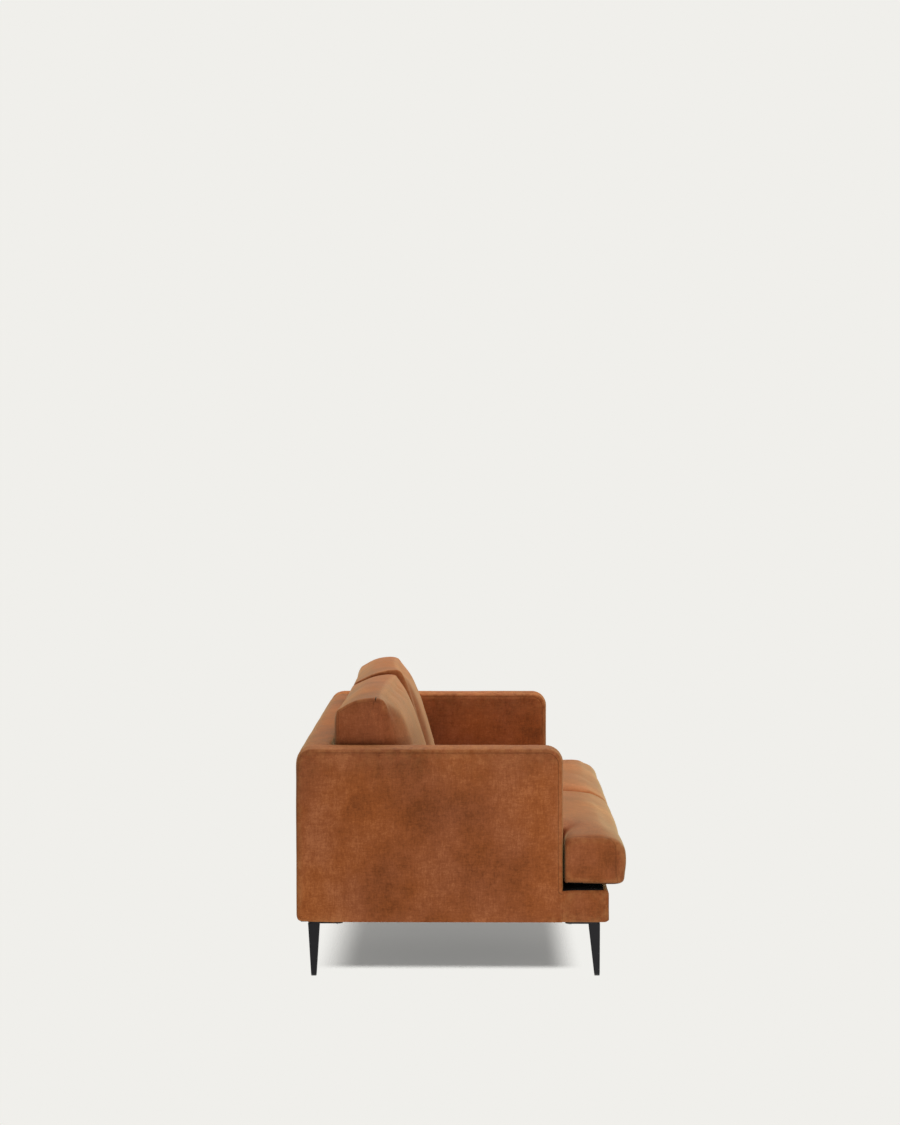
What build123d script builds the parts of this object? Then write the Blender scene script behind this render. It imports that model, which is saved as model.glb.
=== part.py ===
"""Two-seat sofa: slim upholstered arms and back of one height, loose seat cushions that reach
round the front of the arms, loose back cushions, and slim black steel legs.

Millimetres. +Z is up, the front faces -Y, and the origin is on the floor under the middle of the
sofa. Left is the -X side, as seen from the front.
"""

import os

from build123d import *

os.makedirs("parts", exist_ok=True)

# Outer form of the body
LENGTH = 1830.0  # outer face of one arm to outer face of the other
ARM_HEIGHT = 660.0  # floor to the top of the arms and the back
ARM_DEPTH = 765.0  # back face to the front of the arms
ARM_THICKNESS = 120.0
BACK_THICKNESS = 100.0
GROUND_CLEARANCE = 160.0  # floor to the underside of the body
BASE_REACH = 132.0  # front box, ahead of the arms
BASE_HEIGHT = 92.0
ARM_CORNER = 40.0  # arm outline at its top front and top back
EDGE_ROUND = 18.0  # along the upholstered edges of arms and back
BASE_ROUND = 14.0  # along the upholstered edges of the front box

# Upholstery layers
COVER = 2.0  # leather-look cloth
PAD = 12.0  # foam wrapped round the timber
FIT = 0.3  # slack between soft layers
LINING = 1.0  # black cloth under the body
LINING_MARGIN = 12.0  # body outline to the edge of that cloth
LINING_GAP = 1.0  # round the leg plates

# Timber
RAIL = 30.0  # thickness of the seat rails
SEAT_RAIL_HEIGHT = 72.0
ARM_RAIL_HEIGHT = 45.0
ARM_POST = 40.0
BACK_RAIL_HEIGHT = 55.0
BACK_POST = 40.0
BOARD = 4.0  # fibreboard panels

# Elastic webbing
STRAP_WIDTH = 65.0
STRAP = 1.5
SEAT_STRAP_PITCH = 150.0
BACK_STRAP_PITCH = 170.0

# Seat cushions
SEAT_OVERHANG = 53.0  # ahead of the front box
SEAT_LIFT = 14.0  # underside of the cushions above the front box
SEAT_HEIGHT = 174.0  # underside to the top of the crown
SEAT_CROWN_RADIUS = 3600.0  # crown seen from the front
SEAT_ARCH = 12.0  # rise of the crown from front to middle
SEAT_CLEAR = 5.0  # to the arms and the back
SEAT_SPLIT = 3.0  # between the two cushions
SEAT_DRAW = 6.0  # how far the sides and the rear pull in between the corners
SEAT_TOP_ROUND = 32.0  # along the front
SEAT_REAR_BEVEL = 20.0
EAR_GAP = 9.0  # front of the arm to the ear
EAR_INSET = 4.0  # outer face of the arm to the end of the ear

# Back cushions
BACK_CUSHION_CLEAR = 6.0  # to the arms
BACK_CUSHION_SPLIT = 4.0  # between the two cushions
BACK_FOOT_THICKNESS = 312.0  # half way along
BACK_HEAD_THICKNESS = 170.0  # half way along
BACK_REAR_HEIGHT = 318.0
BACK_FRONT_HEIGHT = 370.0
BACK_CROWN_RADIUS = 1550.0  # front face seen from above
BACK_CORNER = 24.0  # along the top of the front
BACK_FOOT_BEVEL = 14.0
BACK_WRAP = 20.0  # cover and fibre wrap round the filling

# Legs
LEG_PLATE = 8.0
LEG_PLATE_LENGTH = 100.0
LEG_PLATE_WIDTH = 80.0
LEG_PLATE_CORNER = 12.0
LEG_INSET = 22.0  # plate to the end faces and the front of the body
LEG_BACK_INSET = 32.0  # plate to the back of the body
LEG_TOP = 33.0  # square section under the plate
LEG_FOOT = 16.0  # square section at the floor
LEG_EDGE = 2.0
GLIDE = 5.0  # plastic pad under each leg
GLIDE_MARGIN = 0.5
GLIDE_EDGE = 1.0

# Fasteners
SCREW_RADIUS = 3.0
SCREW_HEAD_RADIUS = 6.0  # to the corners of the hexagon
SCREW_HEAD = 3.5
SCREW_LENGTH = 40.0  # under the head
SCREW_PITCH_X = 48.0
SCREW_PITCH_Y = 38.0
SCREW_FROM_EDGE = 86.0  # plate's leg end to the far row of screws
BOLT_RADIUS = 4.0
BOLT_HEAD_RADIUS = 7.5  # to the corners of the hexagon
BOLT_HEAD = 5.0
BOLT_GRIP = 40.0  # length of shank in the second timber
BOLT_RISE = 22.0  # bolt axes above the underside of the body
BOLT_WINDOW = 30.0  # side of the square opening in the upholstery round a bolt
BOLT_PITCH = 400.0
HOLE_SLACK = 0.2  # radius of a hole over the radius of what passes through

# Planes and levels that the pieces share
outer_x = LENGTH / 2
inner_x = outer_x - ARM_THICKNESS
depth = ARM_DEPTH + BASE_REACH + SEAT_OVERHANG
back_y = depth / 2
back_inner_y = back_y - BACK_THICKNESS
arm_front_y = back_y - ARM_DEPTH
base_front_y = arm_front_y - BASE_REACH
seat_front_y = base_front_y - SEAT_OVERHANG
body_bottom = GROUND_CLEARANCE
base_top = body_bottom + BASE_HEIGHT
rail_top = body_bottom + SEAT_RAIL_HEIGHT
seat_bottom = base_top + SEAT_LIFT
seat_top = seat_bottom + SEAT_HEIGHT
skin = COVER + FIT + PAD  # upholstered face to the timber under it
front_rail_front_y = base_front_y + skin
front_rail_back_y = front_rail_front_y + RAIL
back_rail_front_y = back_inner_y - RAIL
plate_bottom = body_bottom - LEG_PLATE
bolt_z = body_bottom + BOLT_RISE


def save(piece, name):
    """Names a finished piece and writes its file."""
    piece.label = name
    export_step(piece, f"parts/{name}.step")


def save_pair(left_piece, name):
    """Writes a piece of the left side, and its mirror image for the right side."""
    save(left_piece, f"left_{name}")
    save(mirror(left_piece, about=Plane.YZ), f"right_{name}")


def block(x_span, y_span, z_span, mode=Mode.ADD):
    """Adds or cuts a square-edged block, given its span on each axis."""
    spans = (x_span, y_span, z_span)
    middle = tuple((low + high) / 2 for low, high in spans)
    with Locations(middle):
        Box(*(high - low for low, high in spans), mode=mode)


def soften(edges, radius, inset):
    """Rounds the edges of an outer form, and bevels those of a form drawn in by inset."""
    if inset:
        chamfer(edges, radius - inset)
    else:
        fillet(edges, radius)


# Legs

left_plate_x = -(outer_x - LEG_INSET)
front_plate_y = base_front_y + LEG_INSET
back_plate_y = back_y - LEG_BACK_INSET


def screw_points(edge_y, inward):
    """Centres of a left plate's screws; inward is the sign of Y from its leg to its far end."""
    outer, inner = (left_plate_x + (LEG_PLATE_WIDTH + i * SCREW_PITCH_X) / 2 for i in (-1, 1))
    far_y = edge_y + inward * SCREW_FROM_EDGE
    near_y = far_y - inward * SCREW_PITCH_Y
    return [(outer, far_y), (inner, far_y), (inner, near_y)]


front_screws = screw_points(front_plate_y, 1)
back_screws = screw_points(back_plate_y, -1)
front_foot = (left_plate_x + LEG_TOP / 2, front_plate_y + LEG_FOOT / 2)
back_foot = (left_plate_x + LEG_FOOT / 2, back_plate_y - LEG_TOP / 2)


def holes(points, radius, z_span):
    """Cuts upright round holes between two levels."""
    low, high = z_span
    with Locations(*((x, y, (low + high) / 2) for x, y in points)):
        Cylinder(radius, high - low, mode=Mode.SUBTRACT)


def taper(plane, foot, head):
    """Outline of a leg seen square on: its foot and head are given by their middles."""
    with BuildSketch(plane) as outline:
        with BuildLine():
            Polyline(
                (foot - LEG_FOOT / 2, GLIDE),
                (foot + LEG_FOOT / 2, GLIDE),
                (head + LEG_TOP / 2, plate_bottom),
                (head - LEG_TOP / 2, plate_bottom),
                close=True,
            )
        make_face()
    return outline.sketch


def left_leg(edge_y, inward, foot, screws):
    """Tapered square leg welded to the corner of its screw plate."""
    head = (left_plate_x + LEG_TOP / 2, edge_y + inward * LEG_TOP / 2)
    with BuildPart() as leg:
        extrude(taper(Plane.XZ.offset(-head[1]), foot[0], head[0]), LEG_TOP, both=True)
        side_view = taper(Plane.YZ.offset(head[0]), foot[1], head[1])
        extrude(side_view, LEG_TOP, both=True, mode=Mode.INTERSECT)
        upright = leg.edges().filter_by(lambda e: e.bounding_box().size.Z > LEG_TOP)
        chamfer(upright, LEG_EDGE)
        with BuildSketch(Plane.XY.offset(plate_bottom)):
            middle_y = edge_y + inward * LEG_PLATE_LENGTH / 2
            with Locations((left_plate_x + LEG_PLATE_WIDTH / 2, middle_y)):
                RectangleRounded(LEG_PLATE_WIDTH, LEG_PLATE_LENGTH, LEG_PLATE_CORNER)
        extrude(amount=LEG_PLATE)
        holes(screws, SCREW_RADIUS + HOLE_SLACK, (plate_bottom, body_bottom))
    return leg.part


def mirrored_pair(points):
    """The points of the left side and their mirror images."""
    return [*points, *((-x, y) for x, y in points)]


leg_sets = (
    ("front", front_plate_y, 1, front_foot, front_screws),
    ("back", back_plate_y, -1, back_foot, back_screws),
)
for place, edge_y, inward, foot, screws in leg_sets:
    save_pair(left_leg(edge_y, inward, foot, screws), f"{place}_leg")

with BuildPart() as glides:
    with BuildSketch():
        with Locations(*mirrored_pair([front_foot, back_foot])):
            Rectangle(LEG_FOOT - 2 * GLIDE_MARGIN, LEG_FOOT - 2 * GLIDE_MARGIN)
    extrude(amount=GLIDE)
    chamfer(glides.faces().group_by(Axis.Z)[0].edges(), GLIDE_EDGE)
save(glides.part, "leg_glides")

all_screws = mirrored_pair(front_screws + back_screws)
with BuildPart() as leg_screws:
    with BuildSketch(Plane.XY.offset(plate_bottom - SCREW_HEAD)):
        with Locations(*all_screws):
            RegularPolygon(SCREW_HEAD_RADIUS, 6)
    extrude(amount=SCREW_HEAD)
    with BuildSketch(Plane.XY.offset(plate_bottom)):
        with Locations(*all_screws):
            Circle(SCREW_RADIUS)
    extrude(amount=SCREW_LENGTH)
save(leg_screws.part, "leg_screws")
screw_reach = (body_bottom, plate_bottom + SCREW_LENGTH + HOLE_SLACK)

# Cloth under the body, cut out round the leg plates

lining_z = (body_bottom - LINING, body_bottom)
with BuildPart() as dust_cover:
    block(
        (-outer_x + LINING_MARGIN, outer_x - LINING_MARGIN),
        (base_front_y + LINING_MARGIN, back_y - LINING_MARGIN),
        lining_z,
    )
    plate_middle_x = left_plate_x + LEG_PLATE_WIDTH / 2
    front_middle_y = front_plate_y + LEG_PLATE_LENGTH / 2
    back_middle_y = back_plate_y - LEG_PLATE_LENGTH / 2
    with BuildSketch(Plane.XY.offset(lining_z[0])):
        with Locations(
            *mirrored_pair([(plate_middle_x, front_middle_y), (plate_middle_x, back_middle_y)])
        ):
            Rectangle(LEG_PLATE_WIDTH + 2 * LINING_GAP, LEG_PLATE_LENGTH + 2 * LINING_GAP)
    extrude(amount=LINING, mode=Mode.SUBTRACT)
save(dust_cover.part, "dust_cover")

# Bolts that join the arms to the seat rails

bolt_middle_y = (front_rail_back_y + back_rail_front_y) / 2
bolt_ys = [bolt_middle_y + i * BOLT_PITCH / 2 for i in (-1, 1)]
bolt_head_x = inner_x - RAIL
bolt_length = RAIL + skin + BOARD + BOLT_GRIP
ON_SEAT = (Align.CENTER, Align.CENTER, Align.MIN)


def bolt_seats(sign):
    """Planes under the bolt heads of one arm, facing along the shanks; sign is -1 for the left arm."""
    return [Plane((sign * bolt_head_x, y, bolt_z), z_dir=(sign, 0, 0)) for y in bolt_ys]


def bolt_holes():
    """Cuts the left bolts' clearance holes into the timber being built."""
    with Locations(*bolt_seats(-1)):
        Cylinder(
            BOLT_RADIUS + HOLE_SLACK, bolt_length + HOLE_SLACK, align=ON_SEAT, mode=Mode.SUBTRACT
        )


def bolt_windows():
    """Cuts square openings round the left bolts, from the rail to the timber behind the upholstery."""
    with Locations(*(seat.offset(RAIL) for seat in bolt_seats(-1))):
        Box(BOLT_WINDOW, BOLT_WINDOW, skin + BOARD, align=ON_SEAT, mode=Mode.SUBTRACT)


with BuildPart() as frame_bolts:
    for seat in bolt_seats(-1) + bolt_seats(1):
        with BuildSketch(seat):
            RegularPolygon(BOLT_HEAD_RADIUS, 6)
        extrude(amount=-BOLT_HEAD)
        with BuildSketch(seat):
            Circle(BOLT_RADIUS)
        extrude(amount=bolt_length)
save(frame_bolts.part, "frame_bolts")

# Arms, modelled on the left

arm_timber_x = (-outer_x + skin, -inner_x - skin)
arm_timber_y = (arm_front_y + skin, back_y - skin)
arm_timber_z = (body_bottom, ARM_HEIGHT - skin)
arm_rail_x = (arm_timber_x[0] + BOARD, arm_timber_x[1] - BOARD)
arm_bottom_rail_top = body_bottom + ARM_RAIL_HEIGHT
arm_top_rail_bottom = arm_timber_z[1] - ARM_RAIL_HEIGHT


def arm_form(inset):
    """Slab of the left arm, drawn in by inset on every side but the underside.

    Its edges are rounded outside, and bevelled where it is drawn in.
    """
    with BuildPart() as form:
        with BuildSketch(Plane.YZ.offset(-outer_x + inset)) as outline:
            with BuildLine():
                Polyline(
                    (arm_front_y + inset, body_bottom),
                    (back_y - inset, body_bottom),
                    (back_y - inset, ARM_HEIGHT - inset),
                    (arm_front_y + inset, ARM_HEIGHT - inset),
                    close=True,
                )
            make_face()
            fillet(outline.vertices().group_by(Axis.Y)[-1], ARM_CORNER - inset)
        extrude(amount=ARM_THICKNESS - 2 * inset)
        flat_sides = form.faces().filter_by(Axis.X)
        underside = form.faces().sort_by(Axis.Z)[0]
        soften(flat_sides.edges() - underside.edges(), EDGE_ROUND, inset)
    return form.part


with BuildPart() as arm_cover:
    add(arm_form(0))
    add(arm_form(COVER), mode=Mode.SUBTRACT)
    bolt_windows()
save_pair(arm_cover.part, "arm_cover")

with BuildPart() as arm_foam:
    add(arm_form(COVER + FIT))
    block(arm_timber_x, arm_timber_y, arm_timber_z, mode=Mode.SUBTRACT)
    bolt_windows()
save_pair(arm_foam.part, "arm_foam")

with BuildPart() as arm_outer_board:
    block((arm_timber_x[0], arm_rail_x[0]), arm_timber_y, arm_timber_z)
save_pair(arm_outer_board.part, "arm_outer_board")

with BuildPart() as arm_inner_board:
    block((arm_rail_x[1], arm_timber_x[1]), arm_timber_y, arm_timber_z)
    bolt_windows()
save_pair(arm_inner_board.part, "arm_inner_board")

with BuildPart() as arm_bottom_rail:
    block(arm_rail_x, arm_timber_y, (body_bottom, arm_bottom_rail_top))
    bolt_holes()
    holes(back_screws, SCREW_RADIUS + HOLE_SLACK, screw_reach)
save_pair(arm_bottom_rail.part, "arm_bottom_rail")

with BuildPart() as arm_top_rail:
    block(arm_rail_x, arm_timber_y, (arm_top_rail_bottom, arm_timber_z[1]))
save_pair(arm_top_rail.part, "arm_top_rail")

arm_post_z = (arm_bottom_rail_top, arm_top_rail_bottom)
with BuildPart() as arm_front_post:
    block(arm_rail_x, (arm_timber_y[0], arm_timber_y[0] + ARM_POST), arm_post_z)
save_pair(arm_front_post.part, "arm_front_post")

with BuildPart() as arm_back_post:
    block(arm_rail_x, (arm_timber_y[1] - ARM_POST, arm_timber_y[1]), arm_post_z)
save_pair(arm_back_post.part, "arm_back_post")

# Back, between the arms

back_timber_x = (-inner_x + skin, inner_x - skin)
back_timber_y = (back_inner_y + skin, back_y - skin)
back_timber_z = (body_bottom, ARM_HEIGHT - skin)
back_rail_y = (back_timber_y[0] + STRAP, back_timber_y[1] - BOARD)
back_bottom_rail_top = body_bottom + BACK_RAIL_HEIGHT
back_top_rail_bottom = back_timber_z[1] - BACK_RAIL_HEIGHT


def back_form(inset):
    """Slab of the back with rounded top edges, drawn in by inset on every side but the underside."""
    with BuildPart() as form:
        with BuildSketch(Plane.YZ.offset(-inner_x + inset)) as outline:
            with BuildLine():
                Polyline(
                    (back_inner_y + inset, body_bottom),
                    (back_y - inset, body_bottom),
                    (back_y - inset, ARM_HEIGHT - inset),
                    (back_inner_y + inset, ARM_HEIGHT - inset),
                    close=True,
                )
            make_face()
            fillet(outline.vertices().sort_by_distance((back_y, ARM_HEIGHT))[0], ARM_CORNER - inset)
            fillet(
                outline.vertices().sort_by_distance((back_inner_y, ARM_HEIGHT))[0],
                EDGE_ROUND - inset,
            )
        extrude(amount=2 * (inner_x - inset))
    return form.part


with BuildPart() as back_cover:
    add(back_form(0))
    add(back_form(COVER), mode=Mode.SUBTRACT)
save(back_cover.part, "back_cover")

with BuildPart() as back_foam:
    add(back_form(COVER + FIT))
    block(back_timber_x, back_timber_y, back_timber_z, mode=Mode.SUBTRACT)
save(back_foam.part, "back_foam")

with BuildPart() as back_board:
    block(back_timber_x, (back_rail_y[1], back_timber_y[1]), back_timber_z)
save(back_board.part, "back_board")

with BuildPart() as back_bottom_rail:
    block(back_timber_x, back_rail_y, (body_bottom, back_bottom_rail_top))
save(back_bottom_rail.part, "back_bottom_rail")

with BuildPart() as back_top_rail:
    block(back_timber_x, back_rail_y, (back_top_rail_bottom, back_timber_z[1]))
save(back_top_rail.part, "back_top_rail")

back_post_z = (back_bottom_rail_top, back_top_rail_bottom)
with BuildPart() as back_centre_post:
    block((-BACK_POST / 2, BACK_POST / 2), back_rail_y, back_post_z)
save(back_centre_post.part, "back_centre_post")

with BuildPart() as back_end_post:
    block((back_timber_x[0], back_timber_x[0] + BACK_POST), back_rail_y, back_post_z)
save_pair(back_end_post.part, "back_end_post")

with BuildPart() as back_webbing:
    strap_z = (back_bottom_rail_top - BACK_RAIL_HEIGHT / 2, back_timber_z[1])
    strap_run = back_timber_x[1] - back_timber_x[0] - STRAP_WIDTH
    strap_count = int(strap_run // BACK_STRAP_PITCH) + 1
    middle_y = back_timber_y[0] + STRAP / 2
    with Locations((0, middle_y, sum(strap_z) / 2)):
        with GridLocations(BACK_STRAP_PITCH, 0, strap_count, 1):
            Box(STRAP_WIDTH, STRAP, strap_z[1] - strap_z[0])
save(back_webbing.part, "back_webbing")

# Seat base

base_timber_x = outer_x - skin
rail_z = (body_bottom, rail_top)
side_rail_y = (front_rail_back_y, back_rail_front_y)


def front_box_form(inset):
    """Rounded box across the front of the base, drawn in by inset on its front, top and ends."""
    with BuildPart() as form:
        block(
            (-outer_x + inset, outer_x - inset),
            (base_front_y + inset, arm_front_y),
            (body_bottom, base_top - inset),
        )
        front = form.faces().sort_by(Axis.Y)[0]
        back = form.faces().sort_by(Axis.Y)[-1]
        top = form.faces().sort_by(Axis.Z)[-1]
        underside = form.faces().sort_by(Axis.Z)[0]
        rim = (front.edges() + top.edges()) - underside.edges() - back.edges()
        soften(rim, BASE_ROUND, inset)
    return form.part


with BuildPart() as front_box_cover:
    add(front_box_form(0))
    add(front_box_form(COVER), mode=Mode.SUBTRACT)
save(front_box_cover.part, "front_box_cover")

with BuildPart() as front_box_foam:
    add(front_box_form(COVER + FIT))
    block(
        (-base_timber_x, base_timber_x),
        (front_rail_front_y, arm_front_y),
        (body_bottom, rail_top + STRAP),
        mode=Mode.SUBTRACT,
    )
save(front_box_foam.part, "front_box_foam")

with BuildPart() as seat_front_rail:
    block((-base_timber_x, base_timber_x), (front_rail_front_y, front_rail_back_y), rail_z)
save(seat_front_rail.part, "seat_front_rail")

with BuildPart() as seat_back_rail:
    block((-inner_x, inner_x), (back_rail_front_y, back_inner_y), rail_z)
save(seat_back_rail.part, "seat_back_rail")

with BuildPart() as seat_centre_rail:
    block((-RAIL / 2, RAIL / 2), side_rail_y, rail_z)
save(seat_centre_rail.part, "seat_centre_rail")

with BuildPart() as seat_side_rail:
    block((-inner_x, -bolt_head_x), side_rail_y, rail_z)
    bolt_holes()
save_pair(seat_side_rail.part, "seat_side_rail")

with BuildPart() as leg_block:
    block((-base_timber_x, -inner_x), (front_rail_back_y, arm_front_y), rail_z)
    holes(front_screws, SCREW_RADIUS + HOLE_SLACK, screw_reach)
save_pair(leg_block.part, "front_leg_block")

with BuildPart() as seat_webbing:
    strap_y = (front_rail_front_y, back_inner_y)
    strap_run = 2 * (inner_x - RAIL) - STRAP_WIDTH
    strap_count = int(strap_run // SEAT_STRAP_PITCH) + 1
    with Locations((0, sum(strap_y) / 2, rail_top + STRAP / 2)):
        with GridLocations(SEAT_STRAP_PITCH, 0, strap_count, 1):
            Box(STRAP_WIDTH, strap_y[1] - strap_y[0], STRAP)
save(seat_webbing.part, "seat_webbing")

with BuildPart() as seat_deck:
    block(
        (-inner_x + FIT, inner_x - FIT),
        (arm_front_y, back_inner_y - FIT),
        (rail_top + STRAP, seat_bottom - FIT),
    )
save(seat_deck.part, "seat_deck")

# Seat cushions, modelled on the left

seat_arm_side_x = -(inner_x - SEAT_CLEAR)
seat_rear_y = back_inner_y - SEAT_CLEAR
ear_end_x = -(outer_x - EAR_INSET)
ear_rear_y = arm_front_y - EAR_GAP
seat_crown_x = (seat_arm_side_x - SEAT_SPLIT / 2) / 2
seat_crown_axis = Axis((seat_crown_x, 0, seat_top - SEAT_CROWN_RADIUS), (0, 1, 0))

with BuildPart() as seat_cushion:
    with BuildSketch(Plane.XY.offset(seat_bottom)):
        with BuildLine():
            SagittaArc((-SEAT_SPLIT / 2, seat_front_y), (-SEAT_SPLIT / 2, seat_rear_y), SEAT_DRAW)
            SagittaArc((-SEAT_SPLIT / 2, seat_rear_y), (seat_arm_side_x, seat_rear_y), SEAT_DRAW)
            SagittaArc((seat_arm_side_x, seat_rear_y), (seat_arm_side_x, ear_rear_y), SEAT_DRAW)
            Line((seat_arm_side_x, ear_rear_y), (ear_end_x, ear_rear_y))
            Line((ear_end_x, ear_rear_y), (ear_end_x, seat_front_y))
            Line((ear_end_x, seat_front_y), (-SEAT_SPLIT / 2, seat_front_y))
        make_face()
    extrude(amount=SEAT_HEIGHT)
    # The crown is a ring about a low axis; its section is drawn on the far side of that axis.
    with BuildSketch(Plane.YZ.offset(seat_crown_x)) as crown:
        axis_z = seat_top - SEAT_CROWN_RADIUS
        edge_z = axis_z - SEAT_CROWN_RADIUS + SEAT_ARCH
        with BuildLine():
            Line((seat_rear_y, axis_z), (seat_front_y, axis_z))
            Line((seat_front_y, axis_z), (seat_front_y, edge_z))
            SagittaArc((seat_front_y, edge_z), (seat_rear_y, edge_z), -SEAT_ARCH)
            Line((seat_rear_y, edge_z), (seat_rear_y, axis_z))
        make_face()
        fillet(crown.vertices().sort_by_distance((seat_front_y, edge_z))[0], SEAT_TOP_ROUND)
        chamfer(crown.vertices().sort_by_distance((seat_rear_y, edge_z))[0], SEAT_REAR_BEVEL)
    revolve(axis=seat_crown_axis, mode=Mode.INTERSECT)
save_pair(seat_cushion.part, "seat_cushion")

# Back cushions, modelled on the left

back_cushion_x = (-(inner_x - BACK_CUSHION_CLEAR), -BACK_CUSHION_SPLIT / 2)
back_cushion_middle = sum(back_cushion_x) / 2
back_cushion_rear_y = back_inner_y - FIT
back_cushion_z = (seat_top + FIT, seat_top + FIT + BACK_FRONT_HEIGHT)
back_foot_y = back_cushion_rear_y - BACK_FOOT_THICKNESS
back_head_y = back_cushion_rear_y - BACK_HEAD_THICKNESS
back_rear_z = back_cushion_z[0] + BACK_REAR_HEIGHT
back_crown_y = back_foot_y + BACK_CROWN_RADIUS
back_half_length = (back_cushion_x[1] - back_cushion_x[0]) / 2
back_crown = BACK_CROWN_RADIUS - (BACK_CROWN_RADIUS**2 - back_half_length**2) ** 0.5


def back_filling(wrap):
    """Plain wedge inside the left back cushion, wrap deep under the surface at its ends."""
    with BuildPart() as filling:
        with BuildSketch(Plane.YZ.offset(back_cushion_x[0] + wrap)):
            with BuildLine():
                Polyline(
                    (back_foot_y + back_crown, back_cushion_z[0]),
                    (back_cushion_rear_y, back_cushion_z[0]),
                    (back_cushion_rear_y, back_rear_z),
                    (back_head_y + back_crown, back_cushion_z[1]),
                    close=True,
                )
            make_face()
            offset(amount=-wrap, kind=Kind.INTERSECTION)
        extrude(amount=back_cushion_x[1] - back_cushion_x[0] - 2 * wrap)
    return filling.part


with BuildPart() as back_cushion_cover:
    block(back_cushion_x, (back_foot_y, back_cushion_rear_y), back_cushion_z)
    # The crowned front is a ring about an upright axis; its section is drawn behind that axis.
    with BuildSketch(Plane.YZ.offset(back_cushion_middle)) as wedge:
        with BuildLine():
            foot = (2 * back_crown_y - back_foot_y, back_cushion_z[0])
            head = (2 * back_crown_y - back_head_y, back_cushion_z[1])
            rear_head = (2 * back_crown_y - back_cushion_rear_y - back_crown, back_rear_z)
            rear_foot = (rear_head[0], back_cushion_z[0])
            Polyline(rear_foot, foot, head, rear_head, close=True)
        make_face()
        chamfer(wedge.vertices().sort_by_distance(foot)[0], BACK_FOOT_BEVEL)
        fillet(wedge.vertices().sort_by_distance(head)[0], BACK_CORNER)
    upright = Axis((back_cushion_middle, back_crown_y, 0), (0, 0, 1))
    revolve(axis=upright, mode=Mode.INTERSECT)
    add(back_filling(BACK_WRAP - FIT), mode=Mode.SUBTRACT)
save_pair(back_cushion_cover.part, "back_cushion_cover")
save_pair(back_filling(BACK_WRAP), "back_cushion_filling")
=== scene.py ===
from contextlib import contextmanager

import bmesh
import bpy
import numpy as np
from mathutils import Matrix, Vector, noise


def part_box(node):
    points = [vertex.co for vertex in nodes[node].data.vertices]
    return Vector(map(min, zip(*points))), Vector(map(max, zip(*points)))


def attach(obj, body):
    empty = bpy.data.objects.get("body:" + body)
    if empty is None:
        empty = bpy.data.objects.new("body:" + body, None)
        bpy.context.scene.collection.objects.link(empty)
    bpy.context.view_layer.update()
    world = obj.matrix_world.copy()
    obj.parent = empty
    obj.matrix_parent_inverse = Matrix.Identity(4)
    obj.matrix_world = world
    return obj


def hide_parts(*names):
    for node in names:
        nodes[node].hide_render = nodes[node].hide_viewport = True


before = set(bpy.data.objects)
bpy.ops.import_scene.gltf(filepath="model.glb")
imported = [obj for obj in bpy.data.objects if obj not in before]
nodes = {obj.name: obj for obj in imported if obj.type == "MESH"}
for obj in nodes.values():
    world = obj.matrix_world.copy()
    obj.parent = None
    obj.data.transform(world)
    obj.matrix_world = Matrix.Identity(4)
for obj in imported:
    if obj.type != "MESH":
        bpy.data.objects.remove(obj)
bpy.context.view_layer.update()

# Sizes in metres, on top of those that the solids give
NEAR = 1e-4  # coordinates that differ by less count as equal
TINY = 1e-9  # keeps a division from failing
FULL_TURN = 6.2832
CLEAR = 0.0015  # between soft pieces that rest on each other
SHARP_TURN = 0.9  # angle from which an edge shows as one
BENT, SHARPLY_BENT = 5.0, 30.0  # bend per metre at which wear and painted highlight begin and at which they are full
HAND_WEAR, HAND_FADE = 0.8, 0.045  # wear where hands rest, and how far below that it fades
OUT_OF_REACH = 9.0  # height of the hands if none rest on a piece

# Filling of the loose cushions
FILL_STEPS = 20
STRETCH_STIFFNESS, BEND_STIFFNESS = 25, 30
FILL_PASSES = 14  # of evening out what the simulation moves
PUT_BACK = 0.75  # share of what it draws in that is put back
SWELL = 0.022  # most that a point of a cover may move

# Upholstered body
ARM_CORNER = 0.046  # arm outline at its top front
ARM_REAR_CORNER = 0.056
ARM_HEEL = 0.0135  # arm outline at its lower back
FULL_BEND = 0.59  # profile of the rear corners: fuller than an arc, to keep the boards covered
RIM = 0.017  # rounding round the arm's flat sides
RIM_MARGIN = 0.005  # rim to the first cut across a side
BOTTOM_RIM = 0.006  # rounding along the underside
BOX_RIM = 0.013  # rounding along the front box
BACK_TOP_OUTER, BACK_TOP_INNER = 0.056, 0.018
SEAM_IN = 0.011  # outline of a side panel to its seam
BACK_SEAM_IN = 0.006  # rounding of the back's top to the seam under it
SQUARE = 0.002  # radius of an outline's corner that is not rounded
OPEN = 0.2  # how far an outline is carried past a side without a seam
RUN_OUT = 30  # how much thinner a seam gets where it runs out
PANEL_CUT = 0.014  # pitch of the cuts that divide the padded faces
BACK_CUT, BACK_TOP_CUT, BOX_CUT, DECK_CUT = 0.020, 0.010, 0.022, 0.028
PUFF = 0.0045  # how far a padded face stands out
PUFF_FADE = 0.07  # seam of a side panel to where it stands out
PINCH, PINCH_WIDE = 0.30, 0.004  # share of that which its seam draws in, and how near to it
STRIP_PUFF = 0.8  # share of PUFF for the strip between an arm's sides
UNEVEN = ((0.0010, 5.5), (0.0004, 17))  # height and fineness of the unevenness
DECK_RIM = 0.006
DECK_MARGIN = 0.01  # edge of the deck to the first cut
QUILT, QUILT_DIP = 0.14, 0.004  # pitch and depth of the deck's quilting
BOX_LIP = 0.013  # leather ahead of the black cloth painted as shade on top of the front box
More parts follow.
